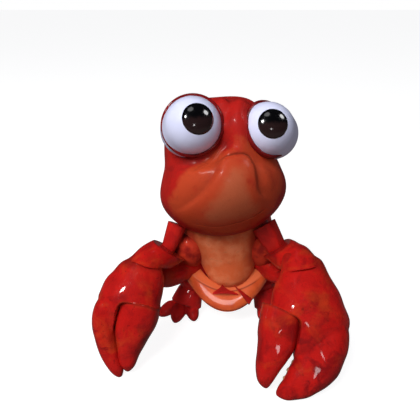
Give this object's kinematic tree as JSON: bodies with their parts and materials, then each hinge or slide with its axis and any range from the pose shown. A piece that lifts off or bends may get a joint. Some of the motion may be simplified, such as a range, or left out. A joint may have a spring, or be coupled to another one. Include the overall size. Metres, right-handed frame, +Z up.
{
  "type": "lobster figurine",
  "caption": "Glossy red toy lobster that stands upright on clawed feet, rests its big claws on the table and looks up with bulging white eyes.",
  "frame": {"origin": "on the table top, under the middle of the figurine's box", "axes": "+Z up, the height and longest side; the figurine faces -Y; +X to the viewer's right when it is seen from the front"},
  "size_m": [0.1176, 0.1144, 0.1209],
  "materials": {
    "head": "glossy, red with an orange muzzle",
    "eye_white": "matte, cool white",
    "pupil": "high gloss, black to dark brown",
    "eyelid": "glossy dark red",
    "flank": "satin red-brown",
    "shoulder": "glossy plain red",
    "shell": "high gloss, mottled cooked red",
    "arm": "glossy red with orange patches",
    "leg": "high gloss dark red",
    "spike": "satin red",
    "chest": "satin orange-brown",
    "torso": "satin dark red",
    "belly": "high gloss bright orange"
  },
  "bodies": {
    "root": {"head": "head", "eyeball_left": "eye_white", "pupil_left": "pupil", "eyelid_left": "eyelid", "flank_left": "flank", "shoulder_left": "shoulder", "elbow_left": "shell", "claw_left": "shell", "claw_thumb_left": "shell", "upper_arm_left": "arm", "thigh_left": "leg", "foot_left": "leg", "spike_left": "spike", "eyeball_right": "eye_white", "pupil_right": "pupil", "eyelid_right": "eyelid", "flank_right": "flank", "shoulder_right": "shoulder", "elbow_right": "shell", "claw_right": "shell", "claw_thumb_right": "shell", "upper_arm_right": "arm", "thigh_right": "leg", "foot_right": "leg", "spike_right": "spike", "chest": "chest", "torso": "torso", "hip_bowl": "belly", "carapace": "shell", "tail_1": "shell", "tail_2": "shell", "tail_3": "shell", "tail_4": "shell", "tail_fan_middle": "shell", "tail_fan_left": "shell", "tail_fan_right": "shell"}
  },
  "joints": []
}
